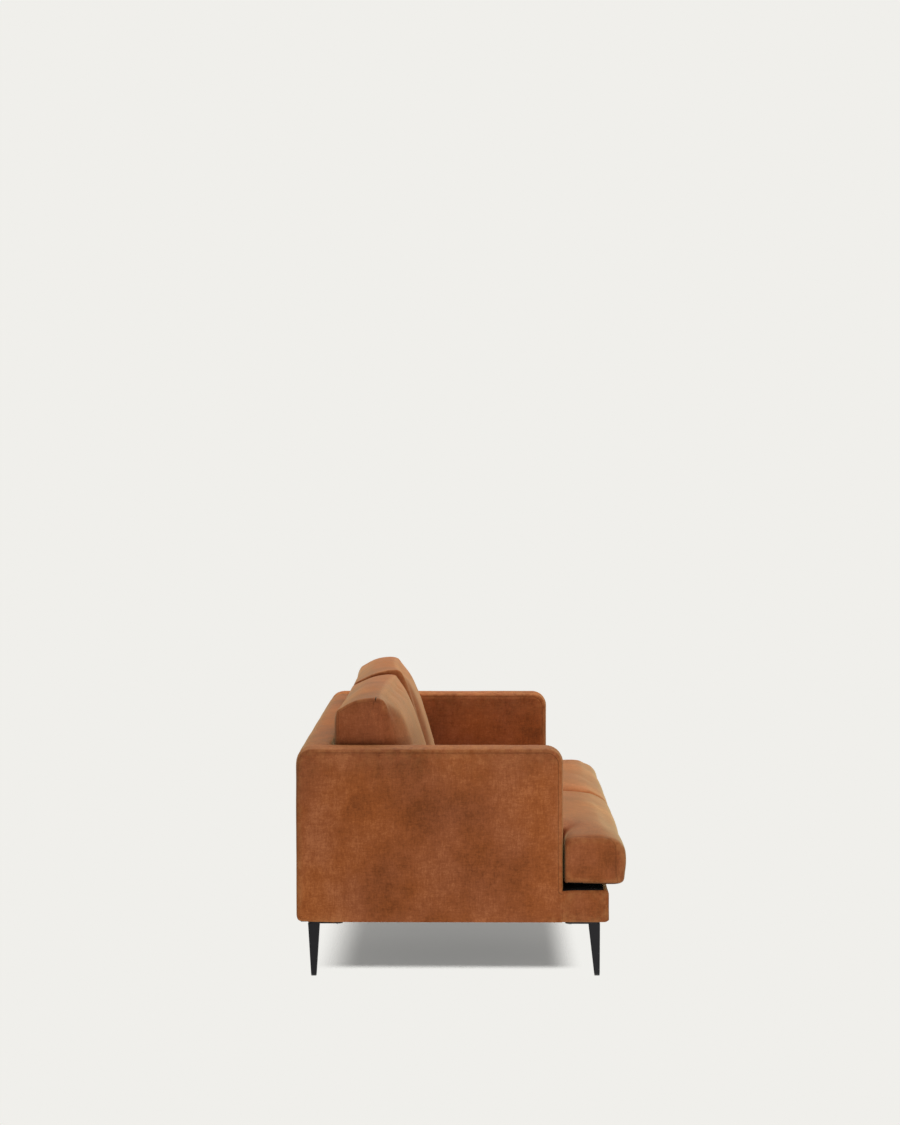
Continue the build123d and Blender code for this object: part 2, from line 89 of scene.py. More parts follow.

# Seat cushions
SEAT_GRID = 0.009  # mesh size of the simulated cover
SEAT_PRESSURE = 2.5
SEAT_BLOCK = 0.155  # height before the cover fills
SEAT_INSET = 0.004  # ends of the block to those of the solid, for the cover to fill
SEAT_FRONT_INSET, SEAT_REAR_INSET = 0.008, 0.002
SEAT_ARM_GAP, EAR_GAP = 0.008, 0.013  # arm to the block, beside it and ahead of it
SEAT_ARM_LEAST, EAR_LEAST = 0.0065, 0.0085  # the same once filled
SEAT_ROUND = 0.036  # along the top
SEAT_FRONT_ROUND = 0.048
SEAT_FOOT_ROUND = 0.009  # along the lower front
EAR_FOOT_ROUND = 0.019
SEAT_END_ROUND = 0.020  # round the panel at the ear's end
SEAT_SPLIT_ROUND = 0.022  # where the two cushions meet
SEAT_SEAM_IN = 0.008
SEAT_CROWN, SEAT_RISE = 0.009, 0.004  # of the top, along and from front to rear
SEAT_FRONT_BULGE = 0.013
FRONT_ZONE = 0.08  # from the front, what bulges
FLAT_FOOT = 0.05  # from the underside, what the filling doesn't lift
EAR_REACH, FOOT_REACH = 0.006, 0.005  # how far the ear and the lower front come forwards
SEAT_UNEVEN = (0.0014, 7)
END_ZONE = 0.03  # points this near to an end are on its panel

arm_low, arm_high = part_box("left_arm_cover")
back_low, back_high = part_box("back_cover")
box_low, box_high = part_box("front_box_cover")
deck_low, deck_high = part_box("seat_deck")
seat_low, seat_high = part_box("left_seat_cushion")
pillow_low, pillow_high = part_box("left_back_cushion_cover")

# ------------ modelling helpers


def start_block(name, low, high):
    """Adds a cube at its size and place."""
    bpy.ops.object.select_all(action="DESELECT")
    middle = [(a + b) / 2 for a, b in zip(low, high)]
    bpy.ops.mesh.primitive_cube_add(size=1, location=middle)
    piece = bpy.context.object
    piece.scale = [b - a for a, b in zip(low, high)]
    bpy.ops.object.transform_apply(location=True, rotation=True, scale=True)
    piece.name = piece.data.name = name
    return piece


def make_active(piece):
    bpy.ops.object.select_all(action="DESELECT")
    piece.select_set(True)
    bpy.context.view_layer.objects.active = piece


@contextmanager
def editing(piece):
    """Edit mode on one piece."""
    make_active(piece)
    bpy.ops.object.mode_set(mode="EDIT")
    yield
    bpy.ops.object.mode_set(mode="OBJECT")


def lies_at(**place):
    """Test for an edge or face that lies at these coordinates, such as y=0.2, z=0.66."""
    wanted = [("xyz".index(axis), value) for axis, value in place.items()]
    return lambda item: all(abs(v.co[i] - value) < NEAR for v in item.verts for i, value in wanted)


def pick(kind, test):
    """Selects the edges or faces of the edited piece that pass a test."""
    bpy.ops.mesh.select_mode(type=kind)
    bpy.ops.mesh.select_all(action="DESELECT")
    mesh = bmesh.from_edit_mesh(bpy.context.object.data)
    for item in mesh.edges if kind == "EDGE" else mesh.faces:
        item.select_set(test(item))
    bmesh.update_edit_mesh(bpy.context.object.data)


def round_edges(test, radius, segments, profile=0.5):
    pick("EDGE", test)
    bpy.ops.mesh.bevel(offset=radius, segments=segments, affect="EDGES", profile=profile)


def slice_piece(axis, low, high, pitch):
    """Divides the edited piece by evenly spaced cuts across one axis."""
    count = max(1, round((high - low) / pitch))
    normal = [float(i == axis) for i in range(3)]
    for i in range(count + 1):
        level = [0.0, 0.0, 0.0]
        level[axis] = low + (high - low) * i / count
        bpy.ops.mesh.select_all(action="SELECT")
        bpy.ops.mesh.bisect(plane_co=level, plane_no=normal)


def vectors_of(piece, kind):
    values = np.empty(len(piece.data.vertices) * 3, np.float32)
    piece.data.vertices.foreach_get(kind, values)
    return values.reshape(-1, 3).astype(float)


def points_of(piece):
    return vectors_of(piece, "co")


def normals_of(piece):
    return vectors_of(piece, "normal")


def set_points(piece, points):
    piece.data.vertices.foreach_set("co", points.astype(np.float32).ravel())
    piece.data.update()


def store(piece, name, values):
    """Keeps one number per point, which the materials read."""
    layer = piece.data.attributes.new(name, "FLOAT", "POINT")
    layer.data.foreach_set("value", np.asarray(values, np.float32))


def uneven(points, scale, seed):
    """Smooth unevenness from -1 to 1 at each point."""
    offset = Vector((seed, seed * 1.7, seed * 2.3))
    return np.array([noise.noise(Vector(p) * scale + offset) for p in points])


def ease(values, low, high):
    """0 below low, 1 above high, smooth between."""
    t = np.clip((values - low) / (high - low), 0, 1)
    return t * t * (3 - 2 * t)


def rounded_outline(u, v, low, high, radii):
    """Signed distance to a rounded rectangle, negative inside.

    radii are those at (low u, low v), (low u, high v), (high u, low v) and (high u, high v).
    """
    du, dv = u - (low[0] + high[0]) / 2, v - (low[1] + high[1]) / 2
    radius = np.where(
        du < 0, np.where(dv < 0, radii[0], radii[1]), np.where(dv < 0, radii[2], radii[3])
    )
    qu = np.abs(du) - (high[0] - low[0]) / 2 + radius
    qv = np.abs(dv) - (high[1] - low[1]) / 2 + radius
    outside = np.hypot(np.maximum(qu, 0), np.maximum(qv, 0))
    return outside + np.minimum(np.maximum(qu, qv), 0) - radius


def polygon_outline(u, v, corners):
    """Signed distance to the sides of a convex outline given anticlockwise, negative inside."""
    distance = np.full(len(u), -np.inf)
    for (u0, v0), (u1, v1) in zip(corners, corners[1:] + corners[:1]):
        length = np.hypot(u1 - u0, v1 - v0)
        side = ((u - u0) * (v1 - v0) - (v - v0) * (u1 - u0)) / length
        distance = np.maximum(distance, side)
    return distance


def edge_ends(piece):
    values = np.empty(len(piece.data.edges) * 2, np.int32)
    piece.data.edges.foreach_get("vertices", values)
    return values.reshape(-1, 2).T


def evened(piece, values, passes):
    """Averages values over neighbouring points, a number of times."""
    a, b = edge_ends(piece)
    weight = 1 + np.bincount(a, minlength=len(values)) + np.bincount(b, minlength=len(values))
    for _ in range(passes):
        total = values.copy()
        np.add.at(total, a, values[b])
        np.add.at(total, b, values[a])
        values = (total.T / weight).T
    return values


def mark_wear_and_highlight(piece, handled):
    """Stores where the finish is lighter: where the surface bends outwards, part wear and part
    painted highlight, and where hands rest, which is wear.
    """
    points, normals = points_of(piece), normals_of(piece)
    a, b = edge_ends(piece)
    along = points[b] - points[a]
    bend = ((normals[b] - normals[a]) * along).sum(1) / np.maximum((along**2).sum(1), TINY)
    total, count = np.zeros(len(points)), np.zeros(len(points))
    for end in (a, b):
        np.add.at(total, end, bend)
        np.add.at(count, end, 1)
    bent = ease(evened(piece, total / np.maximum(count, 1), 4), BENT, SHARPLY_BENT)
    touched = HAND_WEAR * np.exp(-np.maximum(handled - points[:, 2], 0) / HAND_FADE)
    store(piece, "wear_and_highlight", np.maximum(bent, touched))


def apply_modifier(piece, name, kind, **values):
    make_active(piece)
    modifier = piece.modifiers.new(name, kind)
    for key, value in values.items():
        setattr(modifier, key, value)
    bpy.ops.object.modifier_apply(modifier=modifier.name)


def send_right(piece):
    """Mirrors a piece made for the left to the right."""
    make_active(piece)
    bpy.ops.transform.mirror(constraint_axis=(True, False, False), center_override=(0, 0, 0))
    bpy.ops.object.transform_apply(location=True, rotation=True, scale=True)
    with editing(piece):
        bpy.ops.mesh.select_all(action="SELECT")
        bpy.ops.mesh.normals_make_consistent(inside=False)


def mirrored(piece, name):
    """Copies a left piece to the right, with its own mesh."""
    make_active(piece)
    bpy.ops.object.duplicate()
    twin = bpy.context.object
    twin.name = twin.data.name = name
    send_right(twin)
    return twin


def fill_cover(piece, pressure):
    """Fills a closed cover by cloth simulation; it swells more than it draws in, up to SWELL."""
    rest, outward = points_of(piece), normals_of(piece)
    make_active(piece)
    cloth = piece.modifiers.new("filling", "CLOTH")
    settings = cloth.settings
    settings.quality, settings.mass = 4, 0.3
    settings.use_pressure, settings.uniform_pressure_force = True, pressure
    settings.tension_stiffness = settings.compression_stiffness = STRETCH_STIFFNESS
    settings.bending_stiffness = BEND_STIFFNESS
    settings.effector_weights.gravity = 0
    cloth.point_cache.frame_start = 1
    cloth.point_cache.frame_end = FILL_STEPS
    for step in range(1, FILL_STEPS + 1):
        bpy.context.scene.frame_set(step)
    bpy.ops.object.modifier_apply(modifier=cloth.name)
    bpy.context.scene.frame_set(1)
    move = evened(piece, points_of(piece) - rest, FILL_PASSES)
    drawn_in = np.minimum((move * outward).sum(1), 0)
    move -= outward * (PUT_BACK * drawn_in)[:, None]
    length = np.maximum(np.linalg.norm(move, axis=1), TINY)
    move *= (SWELL * np.tanh(length / SWELL) / length)[:, None]
    set_points(piece, rest + move)
    return rest


def fitted(points, low, high):
    """Stretches points to fill a box."""
    low, high = np.array(low), np.array(high)
    was_low, was_high = points.min(0), points.max(0)
    return low + (points - was_low) / (was_high - was_low) * (high - low)


def sort_faces(piece):
    """Lists faces and corners in a fixed order, since rounding leaves another one each run."""
    points, faces = points_of(piece).tolist(), []
    for face in piece.data.polygons:
        corners = list(face.vertices)
        if len(corners) == 4:
            corners = min(corners, corners[2:] + corners[:2])
        faces.append(corners)
    piece.data.clear_geometry()
    piece.data.from_pydata(points, [], sorted(faces, key=sorted))


def voxel_mesh(piece, size):
    """Remakes a shape as an even mesh, and eases its steps."""
    sort_faces(piece)
    make_active(piece)
    piece.data.remesh_voxel_size = size
    bpy.ops.object.voxel_remesh()
    apply_modifier(piece, "even", "SMOOTH", factor=0.5, iterations=6)


# ------------ upholstered body


def pad_faces(piece, strength, seed):
    """Stands the faces out by their padding, a little unevenly; strength is 0 to 1 per point."""
    points, normals = points_of(piece), normals_of(piece)
    lift = PUFF * strength
    for height, fineness in UNEVEN:
        lift = lift + height * uneven(points, fineness, seed)
    lift *= 1 - ease(-normals[:, 2], 0.15, 0.6)  # the underside stays flat
    padded = points + normals * lift[:, None]
    padded[:, 2] = np.maximum(padded[:, 2], points[:, 2].min())
    set_points(piece, padded)


def arm_upholstery():
    """Left arm: a slab with rounded corners, seamed just inside the outline of its side panels."""
    (x0, y0, z0), (x1, y1, z1) = arm_low, arm_high
    piece = start_block("left_arm_upholstery", arm_low, arm_high)
    with editing(piece):
        round_edges(lies_at(y=y0, z=z1), ARM_CORNER, 9)
        round_edges(lies_at(y=y1, z=z1), ARM_REAR_CORNER, 9, FULL_BEND)
        round_edges(lies_at(y=y1, z=z0), ARM_HEEL, 6)
        for side in (x0, x1):
            flat = lies_at(x=side)
            round_edges(lambda e: flat(e) and not lies_at(z=z0)(e), RIM, 7)
        margin = RIM + RIM_MARGIN
        slice_piece(1, y0 + margin, y1 - margin, PANEL_CUT)
        slice_piece(2, z0 + margin, z1 - margin, PANEL_CUT)
        slice_piece(0, x0 + RIM, x1 - RIM, PANEL_CUT)
    points = points_of(piece)
    along, up = points[:, 1], points[:, 2]
    radii = (SQUARE, ARM_CORNER, SQUARE, SQUARE)
    outline = rounded_outline(along, up, (y0, z0 - OPEN), (y1 + OPEN, z1), radii)
    box_reach = (y0 - OPEN / 2, z0 - OPEN), (y1 - OPEN / 2, box_high.z)
    outline = np.minimum(outline, rounded_outline(along, up, *box_reach, (SQUARE,) * 4))
    runs_out = 1 + RUN_OUT * ease(along, y1 - 0.07, y1 - 0.02)
    store(piece, "seam", (outline + SEAM_IN) * runs_out)
    panel = 1 - np.exp(-((np.minimum(outline + SEAM_IN, 0) / PUFF_FADE) ** 2))
    half = (x1 - x0) / 2 - RIM
    strip = np.clip(1 - ((points[:, 0] - (x0 + x1) / 2) / half) ** 2, 0, 1)
    on_side = np.abs(normals_of(piece)[:, 0]) > 0.7
    pinched = np.exp(-(((outline + SEAM_IN) / PINCH_WIDE) ** 2)) * on_side
    pad_faces(piece, np.where(on_side, panel - PINCH * pinched, strip * STRIP_PUFF), 3.0)

    # The rims lie flat where the arm runs on into the front box and where it meets the back
    flush = 1 - ease(up, box_high.z - 0.008, box_high.z + 0.012)
    flush = flush * (1 - ease(along, y0 + RIM, y0 + RIM + 0.02))
    against_back = ease(along, back_low.y + 0.004, back_low.y + 0.030)
    points = points_of(piece)
    rim = RIM + 0.001
    outer_rim, inner_rim = points[:, 0] < x0 + rim, points[:, 0] > x1 - rim
    points[:, 0] += np.where(outer_rim, x0 - points[:, 0], 0) * flush
    points[:, 0] += np.where(inner_rim, x1 - points[:, 0], 0) * against_back
    set_points(piece, points)
    return piece


def back_upholstery():
    """Back between the arms, seamed along its rear face."""
    (x0, y0, z0), (x1, y1, z1) = back_low, back_high
    piece = start_block("back_upholstery", back_low, back_high)
    with editing(piece):
        round_edges(lies_at(y=y1, z=z1), BACK_TOP_OUTER, 9, FULL_BEND)
        round_edges(lies_at(y=y0, z=z1), BACK_TOP_INNER, 6)
        slice_piece(0, x0 + PANEL_CUT, x1 - PANEL_CUT, BACK_CUT)
        slice_piece(2, z0 + PANEL_CUT, z1 - BACK_TOP_OUTER, PANEL_CUT)
        slice_piece(1, y0 + BACK_TOP_INNER, y1 - BACK_TOP_OUTER, BACK_TOP_CUT)
    points = points_of(piece)
    on_rear = points[:, 1] > y1 - 0.012
    seam = (z1 - BACK_TOP_OUTER - BACK_SEAM_IN) - points[:, 2]
    store(piece, "seam", np.where(on_rear, seam, 1.0))
    ends = np.clip(np.minimum(points[:, 0] - x0, x1 - points[:, 0]) / 0.05, 0, 1)
    level = np.clip((points[:, 2] - z0) / 0.06, 0, 1)
    facing_seat = normals_of(piece)[:, 1] < -0.7
    pad_faces(piece, np.where(facing_seat, 0, ends * level), 5.0)
    return piece


def front_box_upholstery():
    """Box across the front of the base."""
    (x0, y0, z0), (x1, y1, z1) = box_low, box_high
    piece = start_block("front_box_upholstery", box_low, box_high)
    with editing(piece):
        bottom, rear = lies_at(z=z0), lies_at(y=y1)
        front, top = lies_at(y=y0), lies_at(z=z1)
        seen = lambda e: (front(e) or top(e)) and not bottom(e) and not rear(e)
        round_edges(seen, BOX_RIM, 6)
        round_edges(lambda e: bottom(e) and not rear(e), BOTTOM_RIM, 3)
        slice_piece(0, x0 + BOX_RIM, x1 - BOX_RIM, BOX_CUT)
        slice_piece(1, y0 + BOX_RIM, y1 - 0.004, PANEL_CUT)
        slice_piece(2, z0 + BOTTOM_RIM, z1 - BOX_RIM, PANEL_CUT)
    points = points_of(piece)
    store(piece, "seam", np.ones(len(points)))
    depth = np.clip((y1 - points[:, 1]) / 0.03, 0, 1)
    pad_faces(piece, 0.7 * depth, 7.0)
    return piece


def deck_pad():
    """Padded deck under the cushions, quilted in lining cloth."""
    (x0, y0, z0), (x1, y1, z1) = deck_low, deck_high
    piece = start_block("seat_deck_pad", deck_low, deck_high)
    with editing(piece):
        round_edges(lies_at(z=z1), DECK_RIM, 3)
        slice_piece(0, x0 + DECK_MARGIN, x1 - DECK_MARGIN, DECK_CUT)
        slice_piece(1, y0 + DECK_MARGIN, y1 - DECK_MARGIN, DECK_CUT)
    points = points_of(piece)
    across, along = (np.abs(np.sin(np.pi * (points[:, i] - deck_low[i]) / QUILT)) for i in (0, 1))
    points[:, 2] -= np.where(points[:, 2] > z1 - 0.001, QUILT_DIP * (1 - across * along), 0)
    set_points(piece, points)
    return piece


# ------------ loose cushions


def seat_cushion():
    """Left seat cushion: an L from above with a soft crowned top, filled by simulation."""
    arm_side, arm_front = arm_high.x, arm_low.y
    x_end, x_split = seat_low.x + SEAT_INSET, seat_high.x - SEAT_INSET
    x_body, y_ear = arm_side + SEAT_ARM_GAP, arm_front - EAR_GAP
    y_front, y_rear = seat_low.y + SEAT_FRONT_INSET, seat_high.y - SEAT_REAR_INSET
    z0, z1 = seat_low.z, seat_low.z + SEAT_BLOCK
    piece = start_block("left_seat_cushion_sewn", (x_body, y_front, z0), (x_split, y_rear, z1))
    with editing(piece):
        bpy.ops.mesh.select_all(action="SELECT")
        bpy.ops.mesh.bisect(plane_co=(0, y_ear, 0), plane_no=(0, 1, 0))
        ahead = lambda f: all(v.co.y < y_ear + NEAR for v in f.verts)
        pick("FACE", lambda f: lies_at(x=x_body)(f) and ahead(f))
        bpy.ops.mesh.extrude_region_move(TRANSFORM_OT_translate={"value": (x_end - x_body, 0, 0)})
        in_ear = lambda e: all(v.co.x < x_body + NEAR for v in e.verts)
        round_edges(lies_at(y=y_front, z=z1), SEAT_FRONT_ROUND, 7)
        round_edges(lambda e: lies_at(y=y_ear, z=z1)(e) and in_ear(e), SEAT_ROUND, 6)
        round_edges(lies_at(y=y_rear, z=z1), SEAT_ROUND, 6)
        round_edges(lambda e: lies_at(y=y_ear, z=z0)(e) and in_ear(e), EAR_FOOT_ROUND, 4)
        round_edges(lies_at(y=y_front, z=z0), SEAT_FOOT_ROUND, 4)
        round_edges(lies_at(x=x_end), SEAT_END_ROUND, 4)
        at_split = lies_at(x=x_split)
        round_edges(lambda e: at_split(e) and not lies_at(z=z0)(e), SEAT_SPLIT_ROUND, 5)
    voxel_mesh(piece, SEAT_GRID)

    points = points_of(piece)
    span = (points[:, 0] - x_body) / (x_split - x_body)
    crown = 1 - np.clip(2 * span - 1, -1.3, 1) ** 2  # the ear lies past the body's own span
    depth = ease(points[:, 1], y_front - 0.02, y_front + 0.22)
    upper = np.clip((points[:, 2] - z0) / (z1 - z0), 0, 1)
    points[:, 2] += upper * (SEAT_CROWN * crown + SEAT_RISE * depth)
    toward_front = 1 - ease(points[:, 1], y_front, y_front + FRONT_ZONE)
    points[:, 1] -= toward_front * SEAT_FRONT_BULGE * (1 - (2 * upper - 1) ** 2)
    set_points(piece, points)

    rest = fill_cover(piece, SEAT_PRESSURE)
    apply_modifier(piece, "settle", "SMOOTH", factor=0.5, iterations=4)
    points = points_of(piece)
    x, y, z = rest.T
    points[:, 2] += (z - points[:, 2]) * (1 - ease(z, z0, z0 + FLAT_FOOT))
    toward_front = 1 - ease(y, y_front, y_front + FRONT_ZONE)
    toward_end = 1 - ease(x, x_end, x_body + 0.15)
    low_front = 1 - ease(z, z0, z0 + 0.04)
    points[:, 1] -= toward_front * (EAR_REACH * toward_end + FOOT_REACH * low_front)

    radii = (0.010, SEAT_FRONT_ROUND, EAR_FOOT_ROUND, SEAT_ROUND)
    end_seam = rounded_outline(y, z, (y_front, z0), (y_ear, z1), radii)
    split_seam = rounded_outline(y, z, (y_front, z0), (y_rear, z1), radii)
    seam = np.where(x < x_end + END_ZONE, end_seam + SEAT_SEAM_IN, 1.0)
    seam = np.where(x > x_split - END_ZONE, split_seam + SEAT_SEAM_IN, seam)
    store(piece, "seam", seam)

    points = fitted(points, seat_low + Vector((0.001, -0.001, 0)), seat_high)
    height, fineness = SEAT_UNEVEN
    points += normals_of(piece) * (height * uneven(points, fineness, 1.0))[:, None]
    x, y, z = points.T.copy()
    x = np.clip(x, seat_low.x - 0.003, seat_high.x)
    x = np.where(y > y_ear + 0.012, np.maximum(x, arm_side + SEAT_ARM_LEAST), x)
    y = np.where(x < arm_side + 0.003, np.minimum(y, arm_front - EAR_LEAST), y)
    y = np.clip(y, seat_low.y - 0.004, back_low.y - CLEAR)
    z = np.clip(z, seat_low.z, seat_high.z)
    set_points(piece, np.stack((x, y, z), axis=1))
    apply_modifier(piece, "fine", "SUBSURF", levels=1, render_levels=1)
    return piece


# Sections of a back cushion as (y, z), from the rear's head over the top and down the front
ARM_END = [
    (0.368, 0.757), (0.312, 0.786), (0.252, 0.795), (0.226, 0.783),
    (0.211, 0.742), (0.191, 0.672), (0.114, 0.440),
]
MIDDLE = [
    (0.362, 0.757), (0.300, 0.796), (0.236, 0.804), (0.212, 0.780),
    (0.187, 0.735), (0.150, 0.640), (0.094, 0.440),
]
LEFT_SPLIT = [
    (0.358, 0.762), (0.290, 0.790), (0.226, 0.798), (0.208, 0.782),
    (0.190, 0.735), (0.164, 0.640), (0.104, 0.440),
]
RIGHT_SPLIT = [
    (0.352, 0.770), (0.280, 0.802), (0.212, 0.812), (0.192, 0.792),
    (0.172, 0.740), (0.144, 0.640), (0.092, 0.440),
]
BACK_FOOT = (0.370, 0.440)  # of the rear, in every section
PILLOW_GRID = 0.007  # mesh size of the simulated cover
PILLOW_PRESSURE = 3.0
PILLOW_INSET, PILLOW_SPLIT_INSET = 0.011, 0.004  # block to the solid, for the cover to fill
ARM_END_ROUND = 0.046  # where an end panel turns into the front
SPLIT_END_ROUND = 0.018
PANEL_EDGE = 0.007  # the same at the head of the panel, and its outline to its seam
HEAD_ZONE = 0.07  # below a panel's head, where one turns into the other
SOFT_TURN = 40  # passes of evening out the front corner at the arm
PANEL_PUFF = 0.010  # how far the end panel at the arm stands out
PANEL_FADE = 0.045  # outline of that panel to where it stands out
DIMPLE, DIMPLE_DROP, DIMPLE_SIZE = 0.4, 0.030, 0.018  # below the dart: depth, drop and radius
DART = 0.004  # length of the dart at the top of an end panel
DART_LEAN, DART_TAPER = 0.3, 2.5
SOFT_STOP = 0.007  # from here on an end panel is held back from the arm
PILLOW_UNEVEN = (0.0018, 8)
FOOT_ZONE = (0.45, 0.54)  # heights over which a back cushion gives way to the seat under it
LOOK_REAR, LOOK_FROM = 0.355, 0.6  # rearmost place and height that the seat is looked at from
CROWN_FALL = 0.012  # most that it is taken to lie below its solid's top


def section_place(levels, section):
    """Places on a section's smooth curve: 0 to 2 over the top, 2 to 6 down the front."""
    marks = np.array([section[0], *section, section[-1]])
    start = np.clip(np.floor(levels).astype(int), 0, len(section) - 2)
    t = (levels - start)[:, None]
    before, a, b, after = (marks[start + i] for i in range(4))
    cubic = 3 * (a - b) + after - before
    return a + t / 2 * (b - before + t * (2 * before - 5 * a + 4 * b - after + t * cubic))


def crown_of(span):
    """How full a back cushion is at this share of its length, from none at its ends."""
    return np.clip(1 - (2 * span - 1) ** 2, 0, 1) ** 0.7


def front_line(heights, section):
    """Places of a section's front at these heights."""
    front = section[:1:-1]
    return np.interp(heights, [z for _, z in front], [y for y, _ in front])


def crowned(arm_end, middle, split_end, span, fullness):
    """Blends what holds at the ends and half way along for points on the way."""
    ends = arm_end + (split_end - arm_end) * span
    return ends + (middle - (arm_end + split_end) / 2) * fullness


def turn_ends(piece, x0, x1, split_section):
    """Rounds the corners between end panels and crowned front, less so at a panel's head."""
    points = points_of(piece)
    span = (points[:, 0] - x0) / (x1 - x0)
    lines = (front_line(points[:, 2], each) for each in (ARM_END, MIDDLE, split_section))
    front_y = crowned(*lines, span, crown_of(span))
    ends = ((x0, 1, ARM_END, ARM_END_ROUND), (x1, -1, split_section, SPLIT_END_ROUND))
    for end, inward, section, radius in ends:
        head_z = section[3][1]
        below_head = 1 - ease(points[:, 2], head_z - HEAD_ZONE, head_z)
        wide = PANEL_EDGE + (radius - PANEL_EDGE) * below_head
        across = np.maximum(wide - (points[:, 0] - end) * inward, 0)
        behind = np.maximum(wide - (points[:, 1] - front_y), 0)
        most = np.maximum(across, behind)
        at_corner = ease(np.minimum(across, behind) / wide, 0.5, 0.8)
        most += np.maximum(wide - most, 0) * at_corner
        drawn = np.minimum(most / np.maximum(np.hypot(across, behind), TINY), 1)
        corner = (across > 0) & (behind > 0)
        points[:, 0] += np.where(corner, across * (1 - drawn), 0) * inward
        points[:, 1] += np.where(corner, behind * (1 - drawn), 0)
    set_points(piece, points)


def pillow_form(name, x0, x1, split_section):
    """Wedge with a crowned front between two flat ends, blended from its sections."""
    piece = start_block(name, (x0, 0, 0), (x1, 1, 1))
    with editing(piece):
        slice_piece(0, x0 + 0.04, x1 - 0.04, 0.05)
        slice_piece(1, 0.125, 0.875, 0.125)
        slice_piece(2, 0.0625, 0.9375, 0.0625)
    points = points_of(piece)
    span = (points[:, 0:1] - x0) / (x1 - x0)
    rearward, upward = points[:, 1:2].copy(), points[:, 2:3].copy()
    forward, downward = 1 - rearward, 1 - upward

    def placed(levels):
        """Places at these parts of each point's own section."""
        places = (section_place(levels, each) for each in (ARM_END, MIDDLE, split_section))
        return crowned(*places, span, crown_of(span))

    front, top = placed(2 + 4 * downward[:, 0]), placed(2 * forward[:, 0])
    head, brow, foot = (placed(np.full(len(points), level)) for level in (0.0, 2.0, 6.0))
    heel = np.array(BACK_FOOT)
    rear, base = heel + (head - heel) * upward, heel + (foot - heel) * forward
    corners = downward * (forward * foot + rearward * heel)
    corners += upward * (forward * brow + rearward * head)
    points[:, 1:] = forward * front + rearward * rear + downward * base + upward * top - corners
    set_points(piece, points)
    voxel_mesh(piece, PILLOW_GRID)
    turn_ends(piece, x0, x1, split_section)
    return piece


def back_cushion(name, split_section):
    """Back cushion on the left: its form filled by simulation, then its end panels and dart."""
    x0, x1 = pillow_low.x + PILLOW_INSET, pillow_high.x - PILLOW_SPLIT_INSET
    piece = pillow_form(name, x0, x1, split_section)
    rest = fill_cover(piece, PILLOW_PRESSURE)
    apply_modifier(piece, "settle", "SMOOTH", factor=0.5, iterations=3)
    points = points_of(piece)
    x, y, z = rest.T
    head_z = ARM_END[3][1]
    turned = 1 - ease(x, x0 + 0.08, x0 + 0.14)
    turned *= 1 - ease(y - front_line(z, ARM_END), 0.05, 0.09)
    turned *= ease(z, 0.45, 0.50) * (1 - ease(z, head_z - 0.08, head_z - 0.01))
    points += (evened(piece, points, SOFT_TURN) - points) * turned[:, None]

    near_arm = x < (x0 + x1) / 2
    at_end = np.minimum(np.abs(x - x0), np.abs(x - x1)) < END_ZONE
    panels = [[*section, BACK_FOOT] for section in (ARM_END, split_section)]
    inside = [-polygon_outline(y, z, panel) for panel in panels]
    tip_y, tip_z = ARM_END[2]
    runs_out = 1 + RUN_OUT * ease(tip_y - y, 0.0, 0.03)
    seam = (np.where(near_arm, *inside) - PANEL_EDGE) * runs_out
    store(piece, "seam", np.where(at_end, seam, 1.0))
    padded = 1 - np.exp(-((np.maximum(inside[0], 0) / PANEL_FADE) ** 2))
    from_dimple = np.hypot(y - tip_y, z - tip_z + DIMPLE_DROP)
    padded -= DIMPLE * np.exp(-(from_dimple / DIMPLE_SIZE) ** 2)
    points[:, 0] -= np.where(at_end & near_arm, PANEL_PUFF * padded, 0)
    beyond = np.maximum(np.maximum(z - tip_z, tip_z - DART - z), 0)
    side = y - (tip_y + DART_LEAN * (tip_z - z))
    dart = np.where(side < 0, -1, 1) * np.hypot(side, DART_TAPER * beyond)
    store(piece, "dart", np.where(at_end & near_arm, dart, 1.0))

    height, fineness = PILLOW_UNEVEN
    points += normals_of(piece) * (height * uneven(points, fineness, 2.0))[:, None]
    room = points[:, 0] - (pillow_low.x + 0.001)
    held = SOFT_STOP * np.exp(np.minimum(room / SOFT_STOP - 1, 0))
    points[:, 0] += np.where(room < SOFT_STOP, held - room, 0)
    points[:, 0] = np.minimum(points[:, 0], pillow_high.x)
    points[:, 1] = np.minimum(points[:, 1], back_low.y - CLEAR)
    set_points(piece, points)
    apply_modifier(piece, "fine", "SUBSURF", levels=1, render_levels=1)
    return piece


def settle(pillow, seat):
    """Lowers the foot of a back cushion onto the crown of the seat cushion under it."""
    points = points_of(pillow)
    foot_low, foot_high = FOOT_ZONE
    for i in np.nonzero(points[:, 2] < foot_high)[0]:
        x, y, z = points[i]
        hit, place, _, _ = seat.ray_cast((x, min(y, LOOK_REAR), LOOK_FROM), (0, 0, -1))
        level = max(place.z if hit else seat_high.z, seat_high.z - CROWN_FALL) + CLEAR
        share = float(1 - ease(np.array(z), foot_low, foot_high))
        points[i, 2] = max(z + (level - BACK_FOOT[1]) * share, level)
    set_points(pillow, points)


# ------------ node groups


def new_group(name, inputs, outputs):
    """Starts a shader node group; inputs are (name, kind, default) and outputs (name, kind)."""
    group = bpy.data.node_groups.new(name, "ShaderNodeTree")
    for label, kind, value in inputs:
        socket = group.interface.new_socket(label, in_out="INPUT", socket_type=f"NodeSocket{kind}")
        socket.default_value = value
    for label, kind in outputs:
        group.interface.new_socket(label, in_out="OUTPUT", socket_type=f"NodeSocket{kind}")
    given, out = (group.nodes.new(f"NodeGroup{end}") for end in ("Input", "Output"))
    return group, given.outputs, out.inputs


